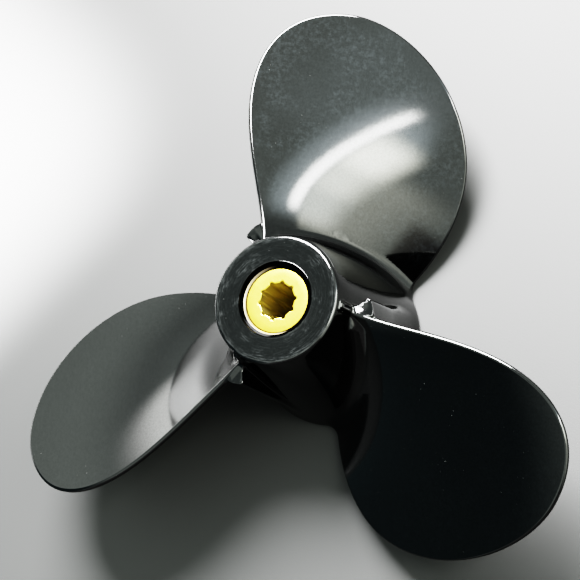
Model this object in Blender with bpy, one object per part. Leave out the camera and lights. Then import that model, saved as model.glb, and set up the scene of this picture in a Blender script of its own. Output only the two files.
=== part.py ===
"""A three-bladed propeller for a small outboard motor: one light-alloy casting, a rubber bush and a splined sleeve.

Metres, +Z up. The shaft axis is Z. The origin is on that axis, close to the propeller's middle. The hub stands
on its wide forward end, and its narrow aft end faces up. The first blade's reference line runs along +Y.
"""

import math

import bmesh
import bpy
import numpy as np
from mathutils import Matrix, Vector
from mathutils.geometry import interpolate_bezier

# Blades: three wide round-tipped blades of a right-hand propeller.
BLADE_COUNT = 3
TIP_RADIUS = 0.1175
PITCH = 0.240
RAKE_SLOPE = math.tan(math.radians(2.2))
REFERENCE_HEIGHT = 0.0054
REFERENCE_RADIUS = 0.080

# Hub barrel, from the narrow aft face down to the wide forward rim.
AFT_HEIGHT = 0.0325
FORWARD_HEIGHT = -0.0300
AFT_RADIUS = 0.02375
FORWARD_RADIUS = 0.0330
AFT_CORNER = 0.0030
FORWARD_CORNER = 0.0012
AFT_HOLE_RADIUS = 0.01385
AFT_HOLE_DEPTH = 0.0090
AFT_HOLE_CHAMFER = 0.0005
FORWARD_RECESS_RADIUS = 0.0265
FORWARD_RECESS_DEPTH = 0.0060

# Rubber bush, bonded to the sleeve and pressed into the casting from the forward end.
BUSH_RADIUS = 0.0195
BUSH_LENGTH = 0.0440
FIT_GAP = 0.0003

# Splined sleeve.
SLEEVE_RADIUS = 0.01275
SLEEVE_CHAMFER = 0.0010
SLEEVE_RECESS_AFT = 0.0022
SPLINE_COUNT = 10
SPLINE_MINOR_RADIUS = 0.0064
SPLINE_MAJOR_RADIUS = 0.00725
SPLINE_PHASE = math.radians(14.5)
# Half-widths of one notch around the shaft, in degrees: at its floor, at its mouth, and on the land beside it.
NOTCH_FLOOR = 5.0
NOTCH_MOUTH = 9.0
NOTCH_LAND = 13.0

# Blade outline on the unrolled pitch helix: distance along the chord from the reference line, then radius.
# Positive chord distances lie towards the trailing edge, which is the aft one.
ROOT_RADIUS = 0.0300
TRAILING_ROOT = 0.0250
TRAILING_ROOT_HANDLE = (0.0255, 0.0440)
TRAILING_WIDEST = (0.0382, 0.0892)
TRAILING_HANDLES = (0.0196, 0.0173)
TIP_CHORD_PLACE = 0.0062
TIP_HANDLES = (0.0232, 0.0187)
LEADING_WIDEST = (-0.0510, 0.0711)
LEADING_HANDLES = (0.0159, 0.0291)
LEADING_ROOT_HANDLE = (-0.0451, 0.0439)
LEADING_ROOT = -0.0413

# Thick root behind each blade. Heights are measured forward from the aft face, and angles around the shaft
# from the blade's reference line. Its side wall leans, so both of the wall's edges turn with the height.
SHELF_DEPTH = 0.0093
WEDGE_END_DEPTH = 0.0520
WEDGE_RADIUS = 0.0320
WEDGE_TAPER = 0.035
WALL_OUTER_ANGLE = 43.6
WALL_OUTER_TURN = 255.0
WALL_INNER_ANGLE = 33.5
WALL_INNER_TURN = 520.0
LEAST_LEAN = 500.0
WALL_FOOT_DEPTH = 0.0003
WEDGE_SETBACK = 0.8
WEDGE_CORNER = 0.0010
WEDGE_FILLET = ((0.0026, -1.0), (0.0012, 0.8), (0.0004, 3.0))
SHELF_FILLET_SIZE = 0.5
SHELF_FILLET_TURN = -3.0
FILLET_GROWTH = 0.0050
WEDGE_LEVELS = 8
WEDGE_ARC_STEPS = 6

# Low rib from the shelf of the thick root up to the aft corner of the barrel.
RIB_ANGLES = (29.8, 31.2, 35.2, 36.6)
RIB_HEIGHT = 0.0009
RIB_TOP_DEPTHS = (0.0012, 0.0032)

# Blade thickness, and the fillet where a blade meets the barrel.
EDGE_THICKNESS = 0.0022
ROOT_THICKNESS = 0.0065
TIP_THICKNESS = 0.0026
EDGE_ROUNDING = 0.0012
TIP_FLAT = 0.00002
ROOT_FILLET = 0.0050
FIRST_FILLET_ANGLE = 10.0
BURIED_SPREAD = 0.9
BACK_FILLET_SHARE = 0.5
FLARE_TILT = math.radians(50.0)
FLARE_END = 0.10
ROOT_DEPTH = 0.0012
FORWARD_MARGIN = 0.0003
CLEAR_OF_FILLET = 0.0040

# Fineness of the faceted solids.
HUB_SEGMENTS = 72
SLEEVE_SEGMENTS = 60
OUTLINE_SAMPLES = 60
CHORD_STATIONS = 8
FILLET_LEVELS = 4
SPAN_LEVELS = 12
EDGE_STATIONS = (0.3, 1.0)
SETTLING_STEPS = 8

# Colour, roughness and metallic of each material.
PAINT_LOOK = ((0.012, 0.013, 0.014), 0.12, 0.0)
RUBBER_LOOK = ((0.02, 0.02, 0.02), 0.75, 0.0)
BRASS_LOOK = ((0.80, 0.62, 0.28), 0.30, 1.0)


def clear_scene():
    for obj in list(bpy.data.objects):
        bpy.data.objects.remove(obj, do_unlink=True)


def make_material(name, colour, roughness, metallic):
    material = bpy.data.materials.new(name)
    material.use_nodes = True
    shader = material.node_tree.nodes["Principled BSDF"]
    shader.inputs["Base Color"].default_value = (*colour, 1.0)
    shader.inputs["Roughness"].default_value = roughness
    shader.inputs["Metallic"].default_value = metallic
    return material


def link_object(name, mesh, material=None):
    obj = bpy.data.objects.new(name, mesh)
    bpy.context.scene.collection.objects.link(obj)
    if material:
        mesh.materials.append(material)
    return obj


def hide_helper(obj):
    obj.hide_render = True
    obj.display_type = "WIRE"


def shade_round(mesh, sharp_degrees=35.0):
    mesh.shade_smooth()
    mesh.set_sharp_from_angle(angle=math.radians(sharp_degrees))


def turned_object(name, profile, segments, material=None):
    """A closed outline of (radius, height) points, turned about Z with a Screw modifier."""
    mesh = bpy.data.meshes.new(name)
    points = [(radius, 0.0, height) for radius, height in profile]
    edges = [(i, (i + 1) % len(points)) for i in range(len(points))]
    mesh.from_pydata(points, edges, [])
    obj = link_object(name, mesh, material)
    screw = obj.modifiers.new("turn", "SCREW")
    screw.axis = "Z"
    screw.steps = segments
    screw.render_steps = segments
    screw.use_merge_vertices = True
    screw.merge_threshold = 0.00001
    screw.use_smooth_shade = True
    return obj


def arc_points(centre, radius, start_degrees, end_degrees, count):
    """Points of (radius, height) along an arc, both ends included."""
    points = []
    for step in range(count + 1):
        angle = math.radians(start_degrees + (end_degrees - start_degrees) * step / count)
        points.append((centre[0] + radius * math.cos(angle), centre[1] + radius * math.sin(angle)))
    return points


def barrel_radius(height):
    """Radius of the hub's tapered outer surface at a height in the part's frame."""
    share = (AFT_HEIGHT - height) / (AFT_HEIGHT - FORWARD_HEIGHT)
    return AFT_RADIUS + (FORWARD_RADIUS - AFT_RADIUS) * share


def hub_profile():
    """The hub's cross-section, down its outer side from the aft face, then back up inside."""
    top = AFT_HEIGHT
    bottom = FORWARD_HEIGHT
    aft_corner = (AFT_RADIUS - AFT_CORNER, top - AFT_CORNER)
    forward_corner = (FORWARD_RADIUS - FORWARD_CORNER, bottom + FORWARD_CORNER)
    seat = bottom + FORWARD_RECESS_DEPTH
    bush_top = top - AFT_HOLE_DEPTH
    outer = [(AFT_HOLE_RADIUS + AFT_HOLE_CHAMFER, top)]
    outer += arc_points(aft_corner, AFT_CORNER, 90, 0, 4)
    outer += arc_points(forward_corner, FORWARD_CORNER, 0, -90, 2)
    inner = [
        (FORWARD_RECESS_RADIUS, bottom),
        (FORWARD_RECESS_RADIUS, seat),
        (BUSH_RADIUS + FIT_GAP, seat),
        (BUSH_RADIUS + FIT_GAP, bush_top),
        (AFT_HOLE_RADIUS, bush_top),
        (AFT_HOLE_RADIUS, top - AFT_HOLE_CHAMFER),
    ]
    return outer + inner


def outline_side(knots):
    """(chord distances, radii) along one side of the blade, from the root to the tip."""
    points = []
    for start, start_handle, end_handle, end in knots:
        corners = [Vector((*point, 0.0)) for point in (start, start_handle, end_handle, end)]
        points += interpolate_bezier(*corners, OUTLINE_SAMPLES)
    return np.array([point.x for point in points]), np.array([point.y for point in points])


def trailing_side():
    root = (TRAILING_ROOT, ROOT_RADIUS)
    chord, radius = TRAILING_WIDEST
    low, high = TRAILING_HANDLES
    tip = (TIP_CHORD_PLACE, TIP_RADIUS)
    return outline_side(
        [
            (root, TRAILING_ROOT_HANDLE, (chord, radius - low), TRAILING_WIDEST),
            (TRAILING_WIDEST, (chord, radius + high), (TIP_CHORD_PLACE + TIP_HANDLES[0], TIP_RADIUS), tip),
        ]
    )


def leading_side():
    root = (LEADING_ROOT, ROOT_RADIUS)
    chord, radius = LEADING_WIDEST
    low, high = LEADING_HANDLES
    tip = (TIP_CHORD_PLACE, TIP_RADIUS)
    return outline_side(
        [
            (root, LEADING_ROOT_HANDLE, (chord, radius - low), LEADING_WIDEST),
            (LEADING_WIDEST, (chord, radius + high), (TIP_CHORD_PLACE - TIP_HANDLES[1], TIP_RADIUS), tip),
        ]
    )


class BladeShape:
    """Gives points of one blade, which runs along +Y."""

    def __init__(self):
        self.trailing = trailing_side()
        self.leading = leading_side()
        rim = [np.stack(side, axis=1) for side in (self.trailing, self.leading)]
        self.rim = np.concatenate([rim[0], rim[1][::-1]])

    def chord_ends(self, radius):
        leading = np.interp(radius, self.leading[1], self.leading[0])
        trailing = np.interp(radius, self.trailing[1], self.trailing[0])
        return leading, trailing

    def rim_distance(self, chord, radius):
        """Distance from a point of the unrolled blade to its outline, which stays open at the root."""
        start = self.rim[:-1]
        along = self.rim[1:] - start
        offset = np.array([chord, radius]) - start
        length = np.maximum((along**2).sum(axis=1), 1e-18)
        share = np.clip((offset * along).sum(axis=1) / length, 0.0, 1.0)
        gap = offset - share[:, None] * along
        return math.sqrt((gap**2).sum(axis=1).min())

    def thickness(self, share_of_chord, radius):
        """Thickness of the blade, most at mid-chord and at the root."""
        span = (radius - ROOT_RADIUS) / (TIP_RADIUS - ROOT_RADIUS)
        middle = ROOT_THICKNESS + (TIP_THICKNESS - ROOT_THICKNESS) * min(max(span, 0.0), 1.0)
        return EDGE_THICKNESS + (middle - EDGE_THICKNESS) * (1.0 - share_of_chord**2)

    def section(self, radius):
        """A closed loop of (chord, depth) points: the pressure face, then the suction face back."""
        leading, trailing = self.chord_ends(radius)
        chord_length = trailing - leading
        near = [share * min(EDGE_ROUNDING, 0.1 * chord_length) for share in EDGE_STATIONS]
        inner = [0.5 - 0.5 * math.cos(math.pi * k / CHORD_STATIONS) for k in range(1, CHORD_STATIONS)]
        places = near + [near[-1] + share * (chord_length - 2 * near[-1]) for share in inner]
        places += [chord_length - place for place in reversed(near)]
        pressure, suction = [], []
        for place in places:
            chord = leading + place
            share = 2.0 * place / chord_length - 1.0
            thick = self.thickness(share, radius)
            inside = min(self.rim_distance(chord, max(radius, ROOT_RADIUS)) / EDGE_ROUNDING, 1.0)
            half = 0.5 * thick * math.sqrt(max(1.0 - (1.0 - inside) ** 2, 0.0))
            pressure.append((chord, 0.5 * thick - half))
            suction.append((chord, 0.5 * thick + half))
        middle = 0.5 * EDGE_THICKNESS
        return [(leading, middle)] + pressure + [(trailing, middle)] + suction[::-1]

    def place(self, chord, depth, radius):
        """The point of the part at this chord distance, depth behind the pressure face, and radius."""
        angle = math.atan2(PITCH, 2.0 * math.pi * radius)
        turn = (chord * math.cos(angle) + depth * math.sin(angle)) / radius
        height = REFERENCE_HEIGHT + RAKE_SLOPE * (radius - REFERENCE_RADIUS)
        height += chord * math.sin(angle) - depth * math.cos(angle)
        direction = math.pi / 2 + turn
        return Vector((radius * math.cos(direction), radius * math.sin(direction), height))

    def angles_at(self, radius, height):
        """Angles around the shaft, in degrees, of the blade's pressure face and suction face at a height."""
        angle = math.atan2(PITCH, 2.0 * math.pi * radius)
        rise = height - REFERENCE_HEIGHT - RAKE_SLOPE * (radius - REFERENCE_RADIUS)
        leading, trailing = self.chord_ends(max(radius, ROOT_RADIUS))
        chord = min(max(rise / math.sin(angle), leading), trailing)
        share = 2.0 * (chord - leading) / (trailing - leading) - 1.0
        front = math.degrees(rise * 2.0 * math.pi / PITCH)
        width = math.degrees(self.thickness(share, radius) / (radius * math.sin(angle)))
        return front, front + width

    def place_above_barrel(self, chord, depth, above):
        """As place, at a height above the tapered barrel instead of at a radius."""
        radius = ROOT_RADIUS
        for _ in range(SETTLING_STEPS):
            point = self.place(chord, depth, radius)
            radius = barrel_radius(point.z) + above
        point = self.place(chord, depth, radius)
        lowest = FORWARD_HEIGHT + FORWARD_MARGIN
        return Vector((point.x, point.y, max(point.z, lowest)))


def fillet_foot(loop, distance):
    """The root section spread into its fillet: fully on the pressure side, less behind, and not at its ends."""
    leading, trailing = loop[0][0], max(chord for chord, _ in loop)
    stations = (len(loop) - 2) // 2
    foot = []
    for index, (chord, depth) in enumerate(loop):
        to_trailing = (trailing - chord) / (trailing - leading)
        if index in (0, stations + 1):
            foot.append((chord, depth))
        elif index <= stations:
            tilt = max(1.0 - to_trailing / FLARE_END, 0.0) - max(1.0 - (1.0 - to_trailing) / FLARE_END, 0.0)
            tilt *= FLARE_TILT
            foot.append((chord - distance * math.sin(tilt), depth - distance * math.cos(tilt)))
        else:
            foot.append((chord, depth + BACK_FILLET_SHARE * to_trailing * distance))
    return foot


def fillet_levels():
    """(height above the barrel, spread) pairs, from inside the barrel up to where the fillet ends."""
    levels = [(-ROOT_DEPTH, BURIED_SPREAD * ROOT_FILLET)]
    for step in range(FILLET_LEVELS + 1):
        angle = math.radians(FIRST_FILLET_ANGLE + (90.0 - FIRST_FILLET_ANGLE) * step / FILLET_LEVELS)
        levels.append((ROOT_FILLET * (1.0 - math.cos(angle)), ROOT_FILLET * (1.0 - math.sin(angle))))
    return levels


def loft_mesh(name, rings):
    """A closed mesh through rings of points that all have the same count."""
    mesh = bpy.data.meshes.new(name)
    bm = bmesh.new()
    rings = [[bm.verts.new(point) for point in ring] for ring in rings]
    for lower, upper in zip(rings, rings[1:]):
        count = len(lower)
        for index in range(count):
            after = (index + 1) % count
            bm.faces.new((lower[index], lower[after], upper[after], upper[index]))
    bm.faces.new(rings[0])
    bm.faces.new(rings[-1])
    bmesh.ops.recalc_face_normals(bm, faces=bm.faces)
    bm.to_mesh(mesh)
    bm.free()
    shade_round(mesh)
    return mesh


def blade_mesh():
    """One closed blade, whose root runs a little way into the barrel."""
    shape = BladeShape()
    root_loop = shape.section(ROOT_RADIUS)
    rings = []
    for above, spread in fillet_levels():
        loop = fillet_foot(root_loop, spread)
        rings.append([shape.place_above_barrel(*point, above) for point in loop])
    first = FORWARD_RADIUS + ROOT_FILLET + CLEAR_OF_FILLET
    for step in range(SPAN_LEVELS + 1):
        angle = math.pi / 2 * step / SPAN_LEVELS
        radius = first + (TIP_RADIUS - TIP_FLAT - first) * math.sin(angle)
        rings.append([shape.place(*point, radius) for point in shape.section(radius)])
    return loft_mesh("blade", rings)


def cylinder_point(radius, degrees, height):
    """A point at an angle around the shaft from the first blade's reference line."""
    direction = math.radians(90.0 + degrees)
    return Vector((radius * math.cos(direction), radius * math.sin(direction), height))


def arc_around_shaft(radius, start_degrees, end_degrees, height, steps):
    """Points around the shaft, both ends included."""
    turn = (end_degrees - start_degrees) / steps
    return [cylinder_point(radius, start_degrees + turn * step, height) for step in range(steps + 1)]


def wedge_ring(shape, depth):
    """The thick root's outline at one height: under the blade, around outside, then back along the wall."""
    height = AFT_HEIGHT - depth
    below_shelf = depth - SHELF_DEPTH
    outer = WEDGE_RADIUS - WEDGE_TAPER * below_shelf
    surface = barrel_radius(height)
    foot = min(surface - WALL_FOOT_DEPTH, outer - WEDGE_CORNER - WALL_FOOT_DEPTH)
    buried = surface - 2.0 * ROOT_DEPTH
    blade_front, blade_back = shape.angles_at(outer, height)
    blade_side = blade_front + WEDGE_SETBACK
    wall_outer = WALL_OUTER_ANGLE + WALL_OUTER_TURN * below_shelf
    wall_inner = WALL_INNER_ANGLE + WALL_INNER_TURN * below_shelf
    lean = max((wall_outer - wall_inner) / max(outer - surface, WEDGE_CORNER), LEAST_LEAN)
    corner_turn = math.degrees(WEDGE_CORNER / outer)
    growth = min(below_shelf / FILLET_GROWTH, 1.0)
    size = SHELF_FILLET_SIZE + (1.0 - SHELF_FILLET_SIZE) * growth
    back = blade_back + SHELF_FILLET_TURN * (1.0 - growth)
    ring = [cylinder_point(outer + size * WEDGE_FILLET[0][0], blade_side, height)]
    ring += [cylinder_point(outer + size * rise, back + turn, height) for rise, turn in WEDGE_FILLET]
    arc_start = back + WEDGE_FILLET[-1][1] + corner_turn
    ring += arc_around_shaft(outer, arc_start, wall_outer - corner_turn, height, WEDGE_ARC_STEPS)
    ring.append(cylinder_point(outer - WEDGE_CORNER, wall_outer - lean * WEDGE_CORNER, height))
    foot_angle = wall_inner - lean * (surface - foot)
    ring.append(cylinder_point(foot, foot_angle, height))
    ring += arc_around_shaft(buried, foot_angle, blade_side, height, WEDGE_ARC_STEPS)
    return ring


def wedge_mesh():
    """The thick root between a blade's forward side and its leaning wall, down to where the barrel swallows it."""
    shape = BladeShape()
    step = (WEDGE_END_DEPTH - SHELF_DEPTH) / WEDGE_LEVELS
    rings = [wedge_ring(shape, SHELF_DEPTH + step * level) for level in range(WEDGE_LEVELS + 1)]
    return loft_mesh("thick_root", rings)


def rib_mesh():
    """The low rib that runs on from the trailing edge to the aft corner."""
    start, full = RIB_TOP_DEPTHS
    rings = []
    for depth, rise in ((start, -0.5 * RIB_HEIGHT), (full, RIB_HEIGHT), (SHELF_DEPTH + RIB_HEIGHT, RIB_HEIGHT)):
        height = AFT_HEIGHT - depth
        low = barrel_radius(height) - ROOT_DEPTH
        high = barrel_radius(height) + rise
        radii = (low, high, high, low)
        rings.append([cylinder_point(radius, angle, height) for radius, angle in zip(radii, RIB_ANGLES)])
    return loft_mesh("rib", rings)


def build_casting(material):
    """Hub barrel, thick roots, ribs and blades, one casting."""
    casting = turned_object("propeller_casting", hub_profile(), HUB_SEGMENTS, material)
    for mesh in (wedge_mesh(), rib_mesh(), blade_mesh()):
        for index in range(BLADE_COUNT):
            piece = link_object(f"{mesh.name}_{index + 1}", mesh)
            piece.matrix_world = Matrix.Rotation(2.0 * math.pi * index / BLADE_COUNT, 4, "Z")
            hide_helper(piece)
            union = casting.modifiers.new(piece.name, "BOOLEAN")
            union.operation = "UNION"
            union.solver = "EXACT"
            union.object = piece
    return casting


def build_bush(material):
    """Rubber bush around the sleeve."""
    top = AFT_HEIGHT - AFT_HOLE_DEPTH - FIT_GAP
    bottom = top - BUSH_LENGTH
    inner = SLEEVE_RADIUS + FIT_GAP
    profile = [(inner, top), (BUSH_RADIUS, top), (BUSH_RADIUS, bottom), (inner, bottom)]
    return turned_object("rubber_bush", profile, HUB_SEGMENTS, material)


def spline_outline():
    """Points of (x, y) around the splined bore: ten shallow notches with sloping sides."""
    falling = [
        (NOTCH_LAND, SPLINE_MINOR_RADIUS),
        (NOTCH_MOUTH, SPLINE_MINOR_RADIUS),
        (NOTCH_FLOOR, SPLINE_MAJOR_RADIUS),
    ]
    notch = [(-degrees, radius) for degrees, radius in falling] + falling[::-1]
    points = []
    for index in range(SPLINE_COUNT):
        centre = SPLINE_PHASE + 2.0 * math.pi * index / SPLINE_COUNT
        for degrees, radius in notch:
            angle = centre + math.radians(degrees)
            points.append((radius * math.cos(angle), radius * math.sin(angle)))
    return points


def spline_cutter():
    """The splined bore as a prism that runs past both ends of the sleeve."""
    mesh = bpy.data.meshes.new("spline_cutter")
    bm = bmesh.new()
    low = 2.0 * FORWARD_HEIGHT
    face = bm.faces.new([bm.verts.new((x, y, low)) for x, y in spline_outline()])
    raised = bmesh.ops.extrude_face_region(bm, geom=[face])
    verts = [item for item in raised["geom"] if isinstance(item, bmesh.types.BMVert)]
    bmesh.ops.translate(bm, verts=verts, vec=(0.0, 0.0, 2.0 * AFT_HEIGHT - low))
    bmesh.ops.recalc_face_normals(bm, faces=bm.faces)
    bm.to_mesh(mesh)
    bm.free()
    cutter = link_object("spline_cutter", mesh)
    hide_helper(cutter)
    return cutter


def build_sleeve(material):
    """Turned sleeve with the splined bore cut through it."""
    top = AFT_HEIGHT - SLEEVE_RECESS_AFT
    bottom = FORWARD_HEIGHT + FORWARD_RECESS_DEPTH
    core = 0.5 * SPLINE_MINOR_RADIUS
    profile = [
        (core, top),
        (SLEEVE_RADIUS - SLEEVE_CHAMFER, top),
        (SLEEVE_RADIUS, top - SLEEVE_CHAMFER),
        (SLEEVE_RADIUS, bottom + SLEEVE_CHAMFER),
        (SLEEVE_RADIUS - SLEEVE_CHAMFER, bottom),
        (core, bottom),
    ]
    sleeve = turned_object("splined_sleeve", profile, SLEEVE_SEGMENTS, material)
    cut = sleeve.modifiers.new("spline", "BOOLEAN")
    cut.operation = "DIFFERENCE"
    cut.solver = "EXACT"
    cut.object = spline_cutter()
    return sleeve


def main():
    clear_scene()
    build_casting(make_material("gloss_black_paint", *PAINT_LOOK))
    build_bush(make_material("black_rubber", *RUBBER_LOOK))
    build_sleeve(make_material("brass", *BRASS_LOOK))


main()
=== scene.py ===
"""Looks for a three-bladed propeller of a small outboard motor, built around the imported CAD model.

Metres, in the part's frame: the shaft axis is Z, the aft face is up, and the first blade runs along +Y.
"""

import math

import bmesh
import bpy
import numpy as np
from mathutils import Matrix, Vector
from mathutils.geometry import interpolate_bezier


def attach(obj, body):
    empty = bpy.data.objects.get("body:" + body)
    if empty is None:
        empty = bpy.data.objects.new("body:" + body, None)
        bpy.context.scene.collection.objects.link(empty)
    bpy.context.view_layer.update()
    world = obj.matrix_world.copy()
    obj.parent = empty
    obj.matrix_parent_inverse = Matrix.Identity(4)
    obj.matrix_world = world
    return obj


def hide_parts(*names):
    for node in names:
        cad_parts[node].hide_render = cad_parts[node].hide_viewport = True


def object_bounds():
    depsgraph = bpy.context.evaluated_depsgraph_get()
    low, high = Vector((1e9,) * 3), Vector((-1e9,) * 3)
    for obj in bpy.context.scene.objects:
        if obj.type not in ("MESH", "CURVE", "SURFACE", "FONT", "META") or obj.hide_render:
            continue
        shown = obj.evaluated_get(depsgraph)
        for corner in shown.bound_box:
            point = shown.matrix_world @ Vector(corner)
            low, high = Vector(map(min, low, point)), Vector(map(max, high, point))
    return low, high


# Blades.
BLADE_COUNT = 3
SECTOR = 2.0 * math.pi / BLADE_COUNT
SECTOR_START = math.radians(-62.0)
TIP_RADIUS = 0.1175
PITCH = 0.240
RAKE_SLOPE = math.tan(math.radians(2.2))
REFERENCE_HEIGHT = 0.0054
REFERENCE_RADIUS = 0.080
EDGE_THICKNESS = 0.0022
ROOT_THICKNESS = 0.0065
TIP_THICKNESS = 0.0026
EDGE_ROUNDING = 0.00105

# Blade outline on the unrolled pitch helix: (distance along the chord, radius).
ROOT_RADIUS = 0.0300
TRAILING_ROOT = (0.0250, ROOT_RADIUS)
TRAILING_ROOT_HANDLE = (0.0255, 0.0440)
TRAILING_WIDEST = (0.0382, 0.0892)
TRAILING_HANDLES = (0.0196, 0.0173)
TIP = (0.0062, TIP_RADIUS)
TIP_HANDLES = (0.0232, 0.0187)
LEADING_WIDEST = (-0.0510, 0.0711)
LEADING_HANDLES = (0.0159, 0.0291)
LEADING_ROOT_HANDLE = (-0.0451, 0.0439)
LEADING_ROOT = (-0.0413, ROOT_RADIUS)

# Hub barrel.
AFT_HEIGHT = 0.0325
FORWARD_HEIGHT = -0.0300
AFT_RADIUS = 0.02375
FORWARD_RADIUS = 0.0330
AFT_CORNER = 0.0010
AFT_NARROWING = 0.0005
NARROWING_DEPTH = 0.0090
FORWARD_CORNER = 0.0012
AFT_HOLE_RADIUS = 0.0135
AFT_HOLE_DEPTH = 0.0090
BUSH_HOLE_RADIUS = 0.0198
FORWARD_RECESS_RADIUS = 0.0265
FORWARD_RECESS_DEPTH = 0.0060
CORNER_LEAD = 0.0004
AFT_CORNER_END = 4.0
AFT_CORNER_STEPS = 9
# Aft mouth of the hole, as (radius, depth below the aft face): foot of the lip over the sleeve's chamfer,
# bare bevel, sunk ledge, steep wall, rounded rim, and the shallow groove around it.
MOUTH = (
    (0.01350, 0.00450),
    (0.01195, 0.00262),
    (0.01195, 0.00196),
    (0.01200, 0.00186),
    (0.01246, 0.00139),
    (0.01257, 0.00133),
    (0.01328, 0.00131),
    (0.01344, 0.00125),
    (0.01354, 0.00108),
    (0.01358, 0.00042),
    (0.01361, 0.00020),
    (0.01369, 0.00005),
    (0.01378, 0.00000),
    (0.01388, 0.00001),
    (0.01400, 0.00005),
    (0.01414, 0.00005),
    (0.01434, 0.00001),
    (0.01450, 0.00000),
)

# Rubber bush and splined sleeve.
BUSH_RADIUS = 0.0195
BUSH_LENGTH = 0.0440
BUSH_BEND = 0.0006
FIT_GAP = 0.0003
SLEEVE_RADIUS = 0.01275
SLEEVE_CHAMFER = 0.0013
SLEEVE_RECESS_AFT = 0.0022
SLEEVE_COLUMNS = 360
SLEEVE_EDGE_BEND = 0.00008
SPLINE_COUNT = 10
SPLINE_MINOR_RADIUS = 0.0064
SPLINE_MAJOR_RADIUS = 0.00725
SPLINE_PHASE = math.radians(14.5)
NOTCH_FLOOR = 3.0
NOTCH_MOUTH = 9.5
LAND_CROWN = 0.0001
MOUTH_CHAMFER = 0.00012
# Rows at the sleeve's aft mouth, as (out, down) in lengths of its chamfer, then shares of the way over its
# end face and its outer chamfer.
MOUTH_ROWS = ((0.0, 1.4), (0.0, 1.0), (0.3, 0.3), (1.0, 0.0))
FACE_SHARES = (0.12, 0.5, 0.96)
CHAMFER_SHARES = (0.14, 0.5, 0.9)
SLEEVE_EDGE_DROP = 0.4 * SLEEVE_EDGE_BEND
BORE_ROWS = 10

# Thick root behind each blade: angles in degrees from the blade's reference line, and degrees per metre.
SHELF_DEPTH = 0.0093
WEDGE_END_DEPTH = 0.0490
WEDGE_RADIUS = 0.0320
WEDGE_TAPER = 0.035
WALL_OUTER_ANGLE = 43.6
WALL_OUTER_TURN = 255.0
WALL_INNER_ANGLE = 33.5
WALL_INNER_TURN = 520.0
MOST_LEAN = 2000.0
LEAST_RISE = 0.0005
WEDGE_CORNER = 0.0018
SHELF_CORNER = 0.0004
WEDGE_SETBACK = 1.6
WEDGE_INSET = 0.0007
FLARE = 0.0016
FLARE_FADE = (0.0015, 0.0060)
# How much longer a step around the shaft is than one straight out of the leaning wall.
WALL_SLANT = 1.28

# Fineness of the thick root, with its first rings as (depth below the shelf, how far the ring is drawn in).
SHELF_RINGS = ((0.0, 0.0004), (0.00012, 0.00012), (0.0004, 0.0))
WEDGE_ROWS = 34
WEDGE_FACE_POINTS = 22
WEDGE_CORNER_STEPS = 5
WEDGE_WALL_POINTS = 9
WEDGE_BACK_POINTS = 8
WEDGE_FOOT_DEPTH = 0.0003
WEDGE_BURIED = 0.0024

# Low rib from the shelf up to the aft corner.
RIB_ANGLES = (29.8, 36.6)
RIB_HEIGHT = 0.0009
RIB_TOP_DEPTH = 0.0022
RIB_END_DEPTH = SHELF_DEPTH + 0.001
RIB_BURIED = 0.0012
RIB_ROWS = 17
RIB_POINTS = 13

# Fillets.
PRESSURE_FILLET = 0.0050
SUCTION_FILLET = 0.0026
TRAILING_FILLET = 0.0006
FILLET_FADE = (0.0185, 0.0240)
WALL_FILLET = 0.0020
LEAST_FILLET = 0.00002
WALL_FILLET_RISE = (0.0006, 0.0022)
RIB_FILLET = 0.0010

# Grid on which the distance to the blade's outline is kept.
GRID_STEP = 0.00025
GRID_CHORDS = (-0.062, 0.050)
GRID_RADII = (0.012, 0.124)

# Camera, fitted to the outlines in the photo.
CAMERA_PLACE = (0.26696, -0.11697, 0.58471)
CAMERA_TURNS = (-0.215388, -0.433902, -0.124887)
CAMERA_LENS = 110.78
SENSOR_WIDTH = 36.0

# Tones of the paint, the brass, the rubber and the floor.
PAINT_DARK = (0.00003, 0.00003, 0.00003, 1.0)
PAINT_LIGHT = (0.00030, 0.00032, 0.00032, 1.0)
# Bare metal of the hole's mouth, painted only on the lit side of the shaft.
BARE_LIT_SIDE_TONE = (0.30, 0.26, 0.19, 1.0)
SCRATCH_TONE = (0.0075, 0.0080, 0.0080, 1.0)
# Tone of the haze: faint mottling on all the paint, and a painted sheen on the first blade.
HAZE_SHEEN_TONE = (0.0062, 0.0074, 0.0080, 1.0)
DUST_TONE = (0.05, 0.05, 0.048, 1.0)
BRASS_PALE = (0.95, 0.68, 0.082, 1.0)
BRASS_YELLOW = (0.88, 0.60, 0.058, 1.0)
BRASS_BROWN = (0.50, 0.40, 0.11, 1.0)
BRASS_OLIVE = (0.76, 0.66, 0.26, 1.0)
# Dark brown given to the sleeve's outer chamfer.
BRASS_DARK_CHAMFER = (0.060, 0.045, 0.012, 1.0)
RUBBER_DARK = (0.010, 0.010, 0.010, 1.0)
RUBBER_LIGHT = (0.024, 0.024, 0.023, 1.0)
FLOOR_DARK = (0.0122, 0.0124, 0.0122, 1.0)
FLOOR_LIGHT = (0.0148, 0.0150, 0.0148, 1.0)

# Patterns: a noise is (scale, detail, roughness), spots are a noise with limits, a bump is (strength,
# distance), and limits say where a value starts to count and where it counts fully.
GRAIN = (1300.0, 4.0, 0.7)
CLOUD = (60.0, 3.0, 0.55)
SPECK = ((1500.0, 1.0, 0.5), (0.765, 0.80))
SPECK_ROUGHNESS = 0.3
SPECK_BUMP = (0.6, 0.00004)
DUSTY = ((90.0, 2.0, 0.6), (0.50, 0.66))
PEEL = (300.0, 2.0, 0.5)
PEEL_BUMP = (0.12, 0.00006)
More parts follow.
